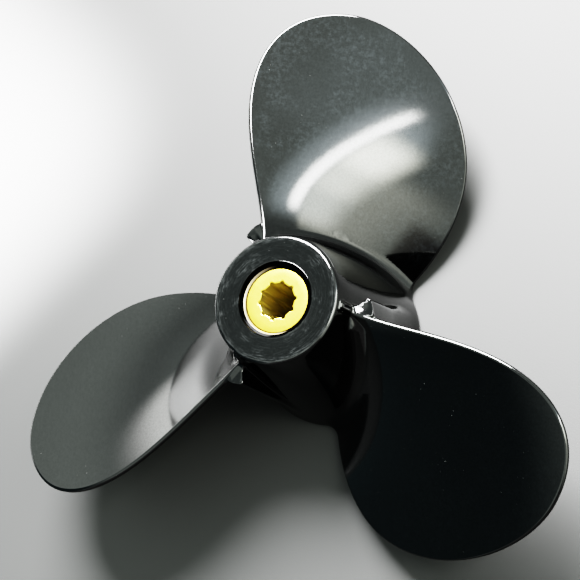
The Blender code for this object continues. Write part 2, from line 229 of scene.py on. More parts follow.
# Haze: mottled spots, faint everywhere and painted much stronger along +Y, on the first blade, as a sheen
# around its highlight.
HAZE_SHEEN_SPOTS = ((560.0, 5.0, 0.75), (0.42, 0.70))
HAZE_SHEEN_CLOUD_LIMITS = (0.36, 0.60)
SHEEN_BLADE_START = (0.028, 0.042)
HAZE_SHEEN_LEAST = 0.03
HAZE_SHEEN_MOST = 0.42
RUBBED = ((150.0, 3.0, 0.6), (0.49, 0.66))
RUBBED_RIM = (0.0206, 0.0222)
RUBBER_CLOUD = (500.0, 4.0, 0.6)
RUBBER_GRAIN = (2600.0, 2.0, 0.6)
RUBBER_BUMP = (0.4, 0.00004)
RUBBER_ROUGHNESS = (0.62, 0.82)
FLOOR_CLOUD = (9.0, 3.0, 0.5)
FLOOR_GRAIN = (1400.0, 2.0, 0.6)
FLOOR_GRAIN_MOST = 0.25
FLOOR_BUMP = (0.15, 0.0001)
FLOOR_ROUGHNESS = 0.5
FLOOR_GLOSS = 0.3
BRASS_CLOUD = (420.0, 3.0, 0.6)
BRASS_ROUGHNESS = (0.21, 0.29)
BRASS_RING_BUMP = (0.25, 0.00002)
STREAK_BUMP = (0.3, 0.00006)
DEEP_ROUGHNESS = 0.13
DARK_CHAMFER_ROUGHNESS = 0.2

# Patterns drawn out one way: (scales of the two coordinates, detail, roughness).
RINGS = ((5200.0, 2.2), 3.0, 0.7)
RING_LIMITS = (0.56, 0.70)
RING_SHARE = 0.6
RING_BUMP = (0.5, 0.00003)
ARCS = ((2100.0, 6.0), 4.0, 0.65)
ARC_LIMITS = (0.42, 0.68)
BORE_STREAKS = ((14.0, 45.0), 3.0, 0.65)
BRASS_RINGS = ((9000.0, 1.0), 2.0, 0.6)

# Places where a look starts and where it is full, in metres, and in degrees around the shaft.
FACE_START = (AFT_HEIGHT - 0.00035, AFT_HEIGHT - 0.00012)
# Side of the hole's mouth that gets the bare metal: the side the light falls on, so it is painted light.
LIT_SIDE_START = (-80.0, 10.0)
LIT_SIDE_END = (125.0, 85.0)
SUNK_HEIGHTS = (0.0, 0.001)
SUNK_RIM = (0.01400, 0.01385)
HALF_EDGE = 0.00006
BARE_RADIUS = 0.0125
BARE_DEPTH = 0.0050
BARE_FADE = 0.0003
BORE_MARGINS = (0.0004, 0.0001)
DULL_DEPTHS = (0.00002, 0.00012)

# Gloss of the paint, and how far the sunk ledge in the hole's mouth loses it.
PAINT_ROUGHNESS = (0.30, 0.42)
GLOSS_GRAIN = (0.30, 0.70)
GLOSS_RANGE = (0.84, 1.02)
SUNK_GLOSS = 0.03
COAT_ROUGHNESS = 0.07
COAT_IOR = 1.5

# Light that comes from each part of the studio.
ROOM_LIGHT = (2.15, 2.34, 2.21, 1.0)
ROOM_TONES = (
    ("dim", (1.15, 1.25, 1.2, 1.0)),
    ("low", (1.1, 1.2, 1.15, 1.0)),
    ("zenith", (1.05, 1.18, 1.15, 1.0)),
    ("dark", (0.23, 0.32, 0.34, 1.0)),
    ("front", (0.6, 0.6, 0.6, 1.0)),
    ("strip", (6.4, 6.5, 6.3, 1.0)),
)
EDGE_TINT = (1.0, 1.0, 0.96)
PANE_TINT = (1.0, 1.0, 0.86)
GLOW_TINT = (0.84, 0.98, 1.04)
EDGE_LIGHT = 58.0
GLOW_LIGHT = 4.6
PANE_LOW = 6.0
PANE_MIDDLE = 7.0
PANE_HIGH = 18.0
PANE_MIDDLE_RISE = (33.0, 42.0)
PANE_HIGH_RISE = (46.0, 54.0)
SKIRT_LIGHT = 3.8
HIGH_LIGHT = 0.7

# Window's bowed edge, and how much two of the directions slant, all in degrees.
WINDOW_EDGE = 32.5
WINDOW_BOW_CENTRE = 18.0
WINDOW_BOW = 0.0118
SLOPE_SLANT = 1.2
STRIP_SLANT = 0.6

# Where each patch of light lies, as (direction, where it has faded out, where it is full) in degrees. The
# names of the directions are those of world_directions.
SLOPE = ("slope", -99.0, -81.0)
PATCHES = {
    "edge": (("off", -4.0, -0.5), ("off", 5.5, 1.0), ("rise", 20.0, 30.0), ("rise", 69.0, 65.0)),
    "glow": (("off", 19.0, 4.0), ("off", -34.0, -10.0), ("rise", 14.0, 28.0), ("rise", 72.0, 62.0), SLOPE),
    "pane": (SLOPE, ("off", -33.0, -15.0), ("off", -1.0, -6.0), ("rise", 10.0, 20.0), ("rise", 64.0, 57.0)),
    "skirt": (("off", -80.0, -26.0), ("off", 6.0, -10.0), ("rise", 14.0, 24.0), ("rise", 58.0, 48.0)),
    "high": (("around", -24.0, 6.0), ("around", 68.0, 40.0), ("rise", 46.0, 60.0), ("rise", 86.0, 70.0)),
    "dark": (("opposite", -26.0, -10.0), ("opposite", 80.0, 56.0), ("rise", 60.0, 42.0)),
    "front": (("around", -120.0, -100.0), ("around", -28.0, -36.0), ("rise", 48.0, 40.0)),
    "dim": (("around", 20.0, 34.0), ("rise", 26.0, 8.0)),
    "strip": (("slanted", 136.0, 145.0), ("around", 186.0, 176.0), ("rise", 18.0, 2.0)),
    "low": (("around", 70.0, 95.0), ("around", 190.0, 176.0), ("rise", 10.0, -2.0)),
    "zenith": (("rise", 50.0, 62.0), ("around", 72.0, 105.0)),
}

# Lamps: one far up beyond the first blade's tip, and one low and narrow beside the propeller.
KEY_AROUND = 105.0
KEY_RISE = 45.0
KEY_DISTANCE = 1.5
KEY_RADIANCE = 220.0
KEY_SIZE = 0.95
KEY_SPREAD = 180.0
BAND_ALONG = (0.58, 0.815, 0.0)
BAND_ACROSS = (-0.815, 0.58, 0.0)
BAND_OFFSETS = (-0.096, 0.83)
BAND_HEIGHT = 0.30
BAND_RADIANCE = 190.0
BAND_SIZE = (1.36, 0.16)
BAND_SPREAD = 22.0
FLOOR_HALF = 1.6
VIEW_EXPOSURE = -0.13

# Fineness of the dressed casting.
HUB_SEGMENTS = 240
HUB_ROWS = 46
OUTLINE_POINTS = 190
RIM_INSETS = (0.00010, 0.00035, 0.00070, 0.00110)
FAN_ROWS = 30
FAN_CENTRE = -0.008
BURIED = 0.0015
SHARP_ANGLE = math.radians(32.0)

# Settling of the casting's skin onto its filleted shape.
LEAST_RADIUS = 0.0001
PROBE = 0.00002
SETTLE_ROUNDS = 4
LEAST_SLOPE = 0.25
MOST_MOVE = 0.0015
SKIN_DEPTH = 0.004
SKIN_LEAST_RADIUS = 0.0215
END_MARGIN = 0.0001


def arc_points(centre, radius, start_degrees, end_degrees, count):
    """Points of (radius, height) along an arc, both ends included."""
    angles = np.radians(np.linspace(start_degrees, end_degrees, count + 1))
    return [(centre[0] + radius * math.cos(a), centre[1] + radius * math.sin(a)) for a in angles]


def barrel_radius(height):
    depth = AFT_HEIGHT - height
    share = depth / (AFT_HEIGHT - FORWARD_HEIGHT)
    narrowing = AFT_NARROWING * np.clip(1.0 - depth / NARROWING_DEPTH, 0.0, 1.0) ** 2
    return AFT_RADIUS + (FORWARD_RADIUS - AFT_RADIUS) * share - narrowing


def bezier_side(knots, count):
    points = []
    for corners in knots:
        bent = interpolate_bezier(*[Vector((*corner, 0.0)) for corner in corners], count)
        points += [(point.x, point.y) for point in bent]
    return np.array(points)


def blade_sides(count=80):
    """(chord, radius) points up the trailing side and up the leading side, from the root to the tip."""
    chord, radius = TRAILING_WIDEST
    low, high = TRAILING_HANDLES
    trailing = [
        (TRAILING_ROOT, TRAILING_ROOT_HANDLE, (chord, radius - low), TRAILING_WIDEST),
        (TRAILING_WIDEST, (chord, radius + high), (TIP[0] + TIP_HANDLES[0], TIP[1]), TIP),
    ]
    chord, radius = LEADING_WIDEST
    low, high = LEADING_HANDLES
    leading = [
        (LEADING_ROOT, LEADING_ROOT_HANDLE, (chord, radius - low), LEADING_WIDEST),
        (LEADING_WIDEST, (chord, radius + high), (TIP[0] - TIP_HANDLES[1], TIP[1]), TIP),
    ]
    return bezier_side(trailing, count), bezier_side(leading, count)


class Blade:
    """The first blade as a rounded plate on its pitch helix, in coordinates (chord, depth, radius)."""

    def __init__(self):
        self.trailing, self.leading = blade_sides()
        low = 0.5 * ROOT_RADIUS
        ends = np.array([[TRAILING_ROOT[0], low]]), np.array([[LEADING_ROOT[0], low]])
        self.rim = np.concatenate([ends[0], self.trailing, self.leading[::-1][1:], ends[1]])
        self.chords = np.arange(*GRID_CHORDS, GRID_STEP)
        self.radii = np.arange(*GRID_RADII, GRID_STEP)
        chord, radius = np.meshgrid(self.chords, self.radii, indexing="ij")
        self.depths = self.measured_rim_depth(chord.ravel(), radius.ravel()).reshape(chord.shape)

    def chord_ends(self, radius):
        leading = np.interp(radius, self.leading[:, 1], self.leading[:, 0])
        trailing = np.interp(radius, self.trailing[:, 1], self.trailing[:, 0])
        return leading, trailing

    def rim_depth(self, chord, radius):
        """Distance in from the outline, negative outside it, read off a fine grid."""
        across = np.clip((chord - GRID_CHORDS[0]) / GRID_STEP, 0.0, len(self.chords) - 1.001)
        along = np.clip((radius - GRID_RADII[0]) / GRID_STEP, 0.0, len(self.radii) - 1.001)
        i, j = across.astype(int), along.astype(int)
        u, v = across - i, along - j
        low = self.depths[i, j] * (1.0 - v) + self.depths[i, j + 1] * v
        high = self.depths[i + 1, j] * (1.0 - v) + self.depths[i + 1, j + 1] * v
        return low * (1.0 - u) + high * u

    def measured_rim_depth(self, chord, radius):
        out = np.empty(len(chord))
        start = self.rim[:-1]
        along = self.rim[1:] - start
        length = np.maximum((along**2).sum(axis=1), 1e-18)
        for first in range(0, len(chord), 8192):
            chunk = slice(first, first + 8192)
            offset = np.stack([chord[chunk], radius[chunk]], axis=1)[:, None] - start[None]
            share = np.clip((offset * along[None]).sum(axis=2) / length, 0.0, 1.0)
            gap = offset - share[..., None] * along[None]
            out[chunk] = np.sqrt((gap**2).sum(axis=2).min(axis=1))
        leading, trailing = self.chord_ends(radius)
        inside = (chord > leading) & (chord < trailing) & (radius < TIP_RADIUS)
        return np.where(inside, out, -out)

    def thickness(self, chord, radius):
        leading, trailing = self.chord_ends(radius)
        share = np.clip((2.0 * chord - leading - trailing) / np.maximum(trailing - leading, 1e-6), -1.0, 1.0)
        span = np.clip((radius - ROOT_RADIUS) / (TIP_RADIUS - ROOT_RADIUS), 0.0, 1.0)
        middle = ROOT_THICKNESS + (TIP_THICKNESS - ROOT_THICKNESS) * span
        return EDGE_THICKNESS + (middle - EDGE_THICKNESS) * (1.0 - share**2)

    def distance(self, chord, depth, radius):
        half = 0.5 * self.thickness(chord, radius)
        across = np.abs(depth - half) - (half - EDGE_ROUNDING)
        outward = EDGE_ROUNDING - self.rim_depth(chord, radius)
        outside = np.hypot(np.maximum(across, 0.0), np.maximum(outward, 0.0))
        return outside + np.minimum(np.maximum(across, outward), 0.0) - EDGE_ROUNDING

    def place(self, chord, depth, radius):
        angle = np.arctan2(PITCH, 2.0 * math.pi * radius)
        direction = math.pi / 2 + (chord * np.cos(angle) + depth * np.sin(angle)) / radius
        height = REFERENCE_HEIGHT + RAKE_SLOPE * (radius - REFERENCE_RADIUS)
        height = height + chord * np.sin(angle) - depth * np.cos(angle)
        return np.stack([radius * np.cos(direction), radius * np.sin(direction), height], axis=-1)

    def buried_radius(self, chord):
        """Radius a little inside the barrel, under the pressure face at this chord distance."""
        radius = ROOT_RADIUS
        for _ in range(8):
            height = self.place(np.array([chord]), np.array([0.0]), np.array([radius]))[0, 2]
            radius = barrel_radius(height) - BURIED
        return radius


BLADE = Blade()


def round_union(first, second, radius):
    """Smaller of two distances, with a fillet of that radius where the two surfaces meet."""
    reach = np.hypot(np.maximum(radius - first, 0.0), np.maximum(radius - second, 0.0))
    return np.maximum(radius, np.minimum(first, second)) - reach


def round_cut(first, second, radius):
    """Larger of two distances, with the corner rounded."""
    reach = np.hypot(np.maximum(first + radius, 0.0), np.maximum(second + radius, 0.0))
    return np.minimum(-radius, np.maximum(first, second)) + reach


def smooth_step(value, low, high):
    share = np.clip((value - low) / (high - low), 0.0, 1.0)
    return share * share * (3.0 - 2.0 * share)


def sector_turn(points):
    """Angle around the shaft from the nearest blade's reference line."""
    turn = np.arctan2(points[:, 1], points[:, 0]) - math.pi / 2
    return (turn - SECTOR_START) % SECTOR + SECTOR_START


def hub_distance(radius, height):
    tilt = math.atan2(FORWARD_RADIUS - AFT_RADIUS, AFT_HEIGHT - FORWARD_HEIGHT)
    side = (radius - barrel_radius(height)) * math.cos(tilt)
    capped = round_cut(side, height - AFT_HEIGHT, AFT_CORNER)
    return round_cut(capped, FORWARD_HEIGHT - height, FORWARD_CORNER)


def wedge_sides(depth):
    """Outer radius, barrel radius, and the wall's outer and inner angle, at a depth below the aft face."""
    below = depth - SHELF_DEPTH
    outer = WEDGE_RADIUS - WEDGE_TAPER * below
    wall_outer = WALL_OUTER_ANGLE + WALL_OUTER_TURN * below
    wall_inner = WALL_INNER_ANGLE + WALL_INNER_TURN * below
    return outer, barrel_radius(AFT_HEIGHT - depth), wall_outer, wall_inner


def blade_coordinates(radius, turn, height):
    """Distance along the blade's chord, and depth behind its pressure face."""
    angle = np.arctan2(PITCH, 2.0 * math.pi * np.maximum(radius, LEAST_RADIUS))
    rise = height - REFERENCE_HEIGHT - RAKE_SLOPE * (radius - REFERENCE_RADIUS)
    chord = turn * radius * np.cos(angle) + rise * np.sin(angle)
    depth = turn * radius * np.sin(angle) - rise * np.cos(angle)
    return chord, depth


def flare(depth):
    """How much farther out the thick root reaches at a depth behind the pressure face."""
    return FLARE * (1.0 - smooth_step(depth, *FLARE_FADE))


def wall_angle(radius, depth):
    """Angle in degrees of the leaning wall, on the straight line between its inner and its outer edge."""
    outer, surface, wall_outer, wall_inner = wedge_sides(depth)
    lean = (wall_outer - wall_inner) / np.maximum(outer - surface, LEAST_RISE)
    return wall_outer - np.clip(lean, 0.0, MOST_LEAN) * (outer - radius)


def wedge_distance(radius, turn, height, behind):
    """Distance outside the thick root, where behind is the depth behind the pressure face."""
    depth = AFT_HEIGHT - height
    outer = WEDGE_RADIUS - WEDGE_TAPER * (depth - SHELF_DEPTH) + flare(behind)
    wall = (turn - np.radians(wall_angle(radius, depth))) * radius / WALL_SLANT
    body = round_cut(radius - outer, wall, WEDGE_CORNER)
    body = round_cut(body, SHELF_DEPTH - depth, SHELF_CORNER)
    return np.maximum(body, WEDGE_INSET - behind)


def rib_distance(radius, turn, height):
    depth = AFT_HEIGHT - height
    middle = math.radians(0.5 * sum(RIB_ANGLES))
    half = math.radians(0.5 * (RIB_ANGLES[1] - RIB_ANGLES[0]))
    side = (np.abs(turn - middle) - half) * radius
    top = radius - barrel_radius(height) - RIB_HEIGHT
    body = round_cut(side, top, RIB_HEIGHT)
    return np.maximum(body, np.maximum(RIB_TOP_DEPTH - depth, depth - RIB_END_DEPTH))


def casting_distance(points):
    """Distance outside the casting's outer surface, with every fillet in it."""
    radius = np.hypot(points[:, 0], points[:, 1])
    height = points[:, 2]
    turn = sector_turn(points)
    chord, depth = blade_coordinates(radius, turn, height)
    body = hub_distance(radius, height)
    body = round_union(body, rib_distance(radius, turn, height), RIB_FILLET)
    behind = smooth_step(depth, 0.0, ROOT_THICKNESS)
    fillet = PRESSURE_FILLET + (SUCTION_FILLET - PRESSURE_FILLET) * behind
    fade = smooth_step(chord, *FILLET_FADE) * (1.0 - behind)
    fillet = fillet + (TRAILING_FILLET - fillet) * fade
    body = round_union(body, BLADE.distance(chord, depth, radius), fillet)
    wall_fillet = LEAST_FILLET + (WALL_FILLET - LEAST_FILLET) * smooth_step(depth, *WALL_FILLET_RISE)
    return round_union(body, wedge_distance(radius, turn, height, depth), wall_fillet)


def gradient(points):
    """How the distance grows along X, Y and Z."""
    columns = []
    for axis in range(3):
        shift = np.zeros(3)
        shift[axis] = PROBE
        change = casting_distance(points + shift) - casting_distance(points - shift)
        columns.append(change / (2.0 * PROBE))
    return np.stack(columns, axis=1)


def settle(points):
    """Points moved onto the filleted surface, and the surface's normals there."""
    for _ in range(SETTLE_ROUNDS):
        slope = gradient(points)
        steep = np.maximum((slope**2).sum(axis=1), LEAST_SLOPE)
        move = -(casting_distance(points) / steep)[:, None] * slope
        points = points + np.clip(move, -MOST_MOVE, MOST_MOVE)
    slope = gradient(points)
    return points, slope / np.maximum(np.linalg.norm(slope, axis=1, keepdims=True), 1e-9)


def add_object(name, data):
    obj = bpy.data.objects.new(name, data)
    bpy.context.scene.collection.objects.link(obj)
    return obj


def mesh_object(name, vertices, faces):
    mesh = bpy.data.meshes.new(name)
    mesh.from_pydata([tuple(v) for v in vertices], [], faces)
    bm = bmesh.new()
    bm.from_mesh(mesh)
    bmesh.ops.remove_doubles(bm, verts=bm.verts, dist=1e-7)
    bmesh.ops.recalc_face_normals(bm, faces=bm.faces)
    bm.to_mesh(mesh)
    bm.free()
    return add_object(name, mesh)


def ring_faces(rings, count, looped):
    """Quads between rings of points. A looped stack meets itself, and any other has a cap at each end."""
    faces = [] if looped else [tuple(range(count)), tuple(range((rings - 1) * count, rings * count))]
    for ring in range(rings if looped else rings - 1):
        here, there = ring * count, (ring + 1) % rings * count
        for i in range(count):
            j = (i + 1) % count
            faces.append((here + i, here + j, there + j, there + i))
    return faces


def turned_object(name, profile, segments):
    """A closed outline of (radius, height) points turned about Z."""
    turns = np.arange(segments) * 2.0 * math.pi / segments
    vertices = [(r * math.cos(t), r * math.sin(t), z) for t in turns for r, z in profile]
    return mesh_object(name, vertices, ring_faces(segments, len(profile), True))


def hub_object():
    top, bottom = AFT_HEIGHT, FORWARD_HEIGHT
    seat = bottom + FORWARD_RECESS_DEPTH
    bush_top = top - AFT_HOLE_DEPTH
    heights = np.linspace(top - AFT_CORNER, bottom + FORWARD_CORNER, HUB_ROWS + 1)[1:-1]
    rim = barrel_radius(top)
    profile = [(rim - AFT_CORNER - CORNER_LEAD, top)]
    centre = (rim - AFT_CORNER, top - AFT_CORNER)
    profile += arc_points(centre, AFT_CORNER, 90, AFT_CORNER_END, AFT_CORNER_STEPS)
    profile += [(barrel_radius(height), height) for height in heights]
    centre = (FORWARD_RADIUS - FORWARD_CORNER, bottom + FORWARD_CORNER)
    profile += arc_points(centre, FORWARD_CORNER, 0, -90, 4)
    profile += [
        (FORWARD_RECESS_RADIUS, bottom),
        (FORWARD_RECESS_RADIUS, seat),
        (BUSH_HOLE_RADIUS, seat),
        (BUSH_HOLE_RADIUS, bush_top),
        (AFT_HOLE_RADIUS, bush_top),
    ]
    profile += [(radius, top - depth) for radius, depth in MOUTH]
    return turned_object("propeller_body", profile, HUB_SEGMENTS)


def even_outline():
    """The blade's outline from inside the barrel round to inside the barrel, at even steps."""
    trailing, leading = BLADE.trailing, BLADE.leading
    foot = np.array([[TRAILING_ROOT[0], BLADE.buried_radius(TRAILING_ROOT[0])]])
    end = BLADE.buried_radius(LEADING_ROOT[0])
    rim = np.concatenate([foot, trailing, leading[::-1][1:]])
    chord_end = np.interp(end, leading[:, 1], leading[:, 0])
    rim = np.concatenate([rim[(rim[:, 1] > end) | (rim[:, 0] > 0.0)], [[chord_end, end]]])
    length = np.concatenate([[0.0], np.cumsum(np.linalg.norm(np.diff(rim, axis=0), axis=1))])
    even = np.linspace(0.0, length[-1], OUTLINE_POINTS)
    return np.stack([np.interp(even, length, rim[:, 0]), np.interp(even, length, rim[:, 1])], axis=1)


def blade_rows():
    """The rim, rows of (chord, radius) that follow it inwards, and the point in the root where they meet."""
    rim = even_outline()
    run = np.gradient(rim, axis=0)
    run /= np.linalg.norm(run, axis=1, keepdims=True)
    inward = np.stack([-run[:, 1], run[:, 0]], axis=1)
    inward[0] = (-1.0, 0.0)
    inward[-1] = (1.0, 0.0)
    centre = np.array([FAN_CENTRE, BLADE.buried_radius(FAN_CENTRE)])
    rows = [rim + inset * inward for inset in RIM_INSETS]
    inner = rows[-1]
    shares = np.linspace(0.0, 1.0, FAN_ROWS + 1)[1:-1]
    rows += [inner + share * (centre - inner) for share in shares]
    return rim, rows, centre


def blade_sheet(rows, centre, sign):
    """Points of one side of the blade, row by row, with the meeting point last."""
    points = []
    for row in rows:
        chord, radius = row[:, 0], row[:, 1]
        inset = np.clip(BLADE.rim_depth(chord, np.maximum(radius, ROOT_RADIUS)), 0.0, EDGE_ROUNDING)
        half = 0.5 * BLADE.thickness(chord, radius)
        bulge = half - EDGE_ROUNDING + np.sqrt(EDGE_ROUNDING**2 - (EDGE_ROUNDING - inset) ** 2)
        points.extend(BLADE.place(chord, half + sign * bulge, radius))
    half = 0.5 * float(BLADE.thickness(centre[:1], centre[1:])[0])
    points.extend(BLADE.place(centre[:1], np.array([half + sign * half]), centre[1:]))
    return points


def sheet_faces(first, rim_first, rows, columns):
    """Faces of one side of the blade, whose points start at first, and of the strip up to the rim."""
    pole = first + rows * columns
    faces = []
    for j in range(rows):
        for i in range(columns - 1):
            a, b = first + j * columns + i, first + j * columns + i + 1
            faces.append((a, b, pole) if j == rows - 1 else (a, b, b + columns, a + columns))
    for i in range(columns - 1):
        faces.append((rim_first + i, rim_first + i + 1, first + i + 1, first + i))
    return faces


def blade_object():
    """One closed blade: rows that follow its outline, drawn in to a point at the middle of its root."""
    rim, rows, centre = blade_rows()
    columns, count = len(rim), len(rows)
    points = blade_sheet(rows, centre, -1.0)
    starts = (0, len(points))
    points += blade_sheet(rows, centre, 1.0)
    rim_first = len(points)
    points += list(BLADE.place(rim[:, 0], 0.5 * BLADE.thickness(rim[:, 0], rim[:, 1]), rim[:, 1]))
    faces = sheet_faces(starts[0], rim_first, count, columns)
    faces += [face[::-1] for face in sheet_faces(starts[1], rim_first, count, columns)]
    poles = [start + count * columns for start in starts]
    for column in (0, columns - 1):
        front, back = [[*range(start + column, pole, columns), pole] for start, pole in zip(starts, poles)]
        faces.append((rim_first + column, front[0], back[0]))
        for j in range(count):
            faces.append((front[j], front[j + 1], back[j + 1], back[j]))
    return mesh_object("blade", points, faces)


def cylinder_point(radius, degrees, height):
    direction = math.radians(90.0 + degrees)
    return (radius * math.cos(direction), radius * math.sin(direction), height)


def wedge_ring(depth, drop):
    """The thick root's outline at one depth: outer face, corner, leaning wall, and back inside the barrel."""
    outer, surface, wall_outer, _ = wedge_sides(depth)
    height = AFT_HEIGHT - depth
    rise = height - REFERENCE_HEIGHT - RAKE_SLOPE * (outer - REFERENCE_RADIUS)
    inside = math.degrees(rise * 2.0 * math.pi / PITCH) + WEDGE_SETBACK
    corner = math.degrees(WEDGE_CORNER / outer)
    ring = []
    for angle in np.linspace(inside, wall_outer - corner, WEDGE_FACE_POINTS):
        _, behind = blade_coordinates(outer, math.radians(angle), height)
        ring.append((outer - drop + float(flare(behind)), angle))
    for step in range(1, WEDGE_CORNER_STEPS + 1):
        bend = math.radians(90.0 * step / WEDGE_CORNER_STEPS)
        radius = outer - drop - WEDGE_CORNER * (1.0 - math.cos(bend))
        ring.append((radius, float(wall_angle(radius, depth)) - corner * (1.0 - math.sin(bend))))
    foot = min(surface, outer - WEDGE_CORNER) - WEDGE_FOOT_DEPTH
    for radius in np.linspace(ring[-1][0], foot, WEDGE_WALL_POINTS)[1:]:
        ring.append((radius, float(wall_angle(radius, depth)) - math.degrees(drop / outer)))
    for angle in np.linspace(ring[-1][1], inside, WEDGE_BACK_POINTS):
        ring.append((surface - WEDGE_BURIED, angle))
    return [cylinder_point(radius, angle, height) for radius, angle in ring]


def wedge_object():
    """The thick root. The settling rounds its corners."""
    levels = [(SHELF_DEPTH + below, drop) for below, drop in SHELF_RINGS]
    levels += [(depth, 0.0) for depth in np.linspace(levels[-1][0], WEDGE_END_DEPTH, WEDGE_ROWS)[1:]]
    rings = [wedge_ring(depth, drop) for depth, drop in levels]
    vertices = [point for ring in rings for point in ring]
    return mesh_object("thick_root", vertices, ring_faces(len(rings), len(rings[0]), False))


def rib_object():
    """The low rib, from its upper end down into the shelf."""
    angles = np.linspace(*RIB_ANGLES, RIB_POINTS)
    vertices = []
    for depth in np.linspace(RIB_TOP_DEPTH, RIB_END_DEPTH, RIB_ROWS):
        height = AFT_HEIGHT - depth
        barrel = barrel_radius(height)
        vertices += [cylinder_point(barrel + RIB_HEIGHT, angle, height) for angle in angles]
        vertices += [cylinder_point(barrel - RIB_BURIED, angle, height) for angle in angles[::-1]]
    return mesh_object("rib", vertices, ring_faces(RIB_ROWS, 2 * RIB_POINTS, False))


def join_by_union(base, pieces):
    """Base united with each piece at each blade's place; the pieces are removed."""
    for piece in pieces:
        for index in range(BLADE_COUNT):
            copy = add_object(f"{piece.name}_{index}", piece.data)
            copy.matrix_world = Matrix.Rotation(SECTOR * index, 4, "Z")
            union = base.modifiers.new(copy.name, "BOOLEAN")
            union.operation = "UNION"
            union.solver = "MANIFOLD"
            union.object = copy
    bpy.context.view_layer.update()
    joined = bpy.data.meshes.new_from_object(base.evaluated_get(bpy.context.evaluated_depsgraph_get()))
    helpers = [modifier.object for modifier in base.modifiers] + pieces
    base.modifiers.clear()
    base.data = joined
    for helper in helpers:
        bpy.data.objects.remove(helper)
    return base


def split_large_faces(mesh):
    """Triangles in place of every face with more than four corners."""
    bm = bmesh.new()
    bm.from_mesh(mesh)
    bmesh.ops.triangulate(bm, faces=[face for face in bm.faces if len(face.verts) > 4])
    bm.to_mesh(mesh)
    bm.free()


def outer_skin(places):
    """Which vertices lie on the filleted outer surface, clear of the hub's two end faces."""
    radius = np.hypot(places[:, 0], places[:, 1])
    height = places[:, 2]
    outside = (radius > barrel_radius(height) - SKIN_DEPTH) & (radius > SKIN_LEAST_RADIUS)
    return outside & (height < AFT_HEIGHT - END_MARGIN) & (height > FORWARD_HEIGHT + END_MARGIN)


def casting_object():
    """The whole casting as one smooth skin with its fillets."""
    casting = join_by_union(hub_object(), [wedge_object(), rib_object(), blade_object()])
    mesh = casting.data
    split_large_faces(mesh)
    places = np.empty(len(mesh.vertices) * 3)
    mesh.vertices.foreach_get("co", places)
    places = places.reshape(-1, 3)
    outer = outer_skin(places)
    moved, normals = settle(places[outer])
    places[outer] = np.clip(moved, *CAD_BOX)
    mesh.vertices.foreach_set("co", places.ravel())
    mesh.shade_smooth()
    mesh.set_sharp_from_angle(angle=SHARP_ANGLE)
    corner_vertex = np.empty(len(mesh.loops), int)
    mesh.loops.foreach_get("vertex_index", corner_vertex)
    full = np.zeros((len(places), 3))
    full[outer] = normals
    mesh.normals_split_custom_set([tuple(n) for n in full[corner_vertex]])
    return casting


def sleeve_bore(turns):
    """The bore's radius in each direction, with its ten rounded notches."""
    phase = (turns - SPLINE_PHASE) * SPLINE_COUNT / (2.0 * math.pi)
    off = np.abs(phase - np.round(phase)) * 360.0 / SPLINE_COUNT
    notch = 1.0 - smooth_step(off, NOTCH_FLOOR, NOTCH_MOUTH)
    crown = (1.0 - smooth_step(off, NOTCH_MOUTH, 180.0 / SPLINE_COUNT)) * LAND_CROWN
    return SPLINE_MINOR_RADIUS + crown + (SPLINE_MAJOR_RADIUS - SPLINE_MINOR_RADIUS - crown) * notch


def sleeve_rows(bore):
    """(radii, height) rows around the wall: aft mouth, end face, chamfer, outside, forward end and bore."""
    top = AFT_HEIGHT - SLEEVE_RECESS_AFT
    bottom = FORWARD_HEIGHT + FORWARD_RECESS_DEPTH
    outside = np.full(SLEEVE_COLUMNS, SLEEVE_RADIUS)
    edge = outside - SLEEVE_CHAMFER
    lip = MOUTH_CHAMFER
    rows = [(bore + out * lip, top - down * lip) for out, down in MOUTH_ROWS]
    rows += [(bore + share * (edge - bore), top) for share in FACE_SHARES]
    rows += [(edge + SLEEVE_EDGE_BEND, top - SLEEVE_EDGE_DROP)]
    rows += [(edge + share * SLEEVE_CHAMFER, top - share * SLEEVE_CHAMFER) for share in CHAMFER_SHARES]
    rows += [(outside, top - SLEEVE_CHAMFER - SLEEVE_EDGE_BEND)]
    rows += [(outside, bottom + SLEEVE_CHAMFER), (edge, bottom), (bore + lip, bottom), (bore, bottom + lip)]
    rows += [(bore, height) for height in np.linspace(bottom + lip, top - lip, BORE_ROWS)[1:-1]]
    return rows


def sleeve_object():
    """Splined sleeve: a turned outside and a notched bore, bridged at both chamfered ends."""
    turns = np.arange(SLEEVE_COLUMNS) * 2.0 * math.pi / SLEEVE_COLUMNS
    rows = sleeve_rows(sleeve_bore(turns))
    vertices = []
    for radii, height in rows:
        vertices += [(r * math.cos(t), r * math.sin(t), height) for r, t in zip(radii, turns)]
    sleeve = mesh_object("brass_sleeve", vertices, ring_faces(len(rows), SLEEVE_COLUMNS, True))
    sleeve.data.shade_smooth()
    sleeve.data.set_sharp_from_angle(angle=SHARP_ANGLE)
    return sleeve


def bush_object():
    """Rubber bush with small moulded radii, in its pressed-in place."""
    top = AFT_HEIGHT - AFT_HOLE_DEPTH - FIT_GAP
    bottom = top - BUSH_LENGTH
    outer, inner, bend = BUSH_RADIUS, SLEEVE_RADIUS + FIT_GAP, BUSH_BEND
    profile = arc_points((outer - bend, top - bend), bend, 90, 0, 4)
    profile += arc_points((outer - bend, bottom + bend), bend, 0, -90, 4)
    profile += arc_points((inner + bend, bottom + bend), bend, -90, -180, 4)
    profile += arc_points((inner + bend, top - bend), bend, 180, 90, 4)
    bush = turned_object("bush", profile, SLEEVE_COLUMNS)
    bush.data.shade_smooth()
    return bush


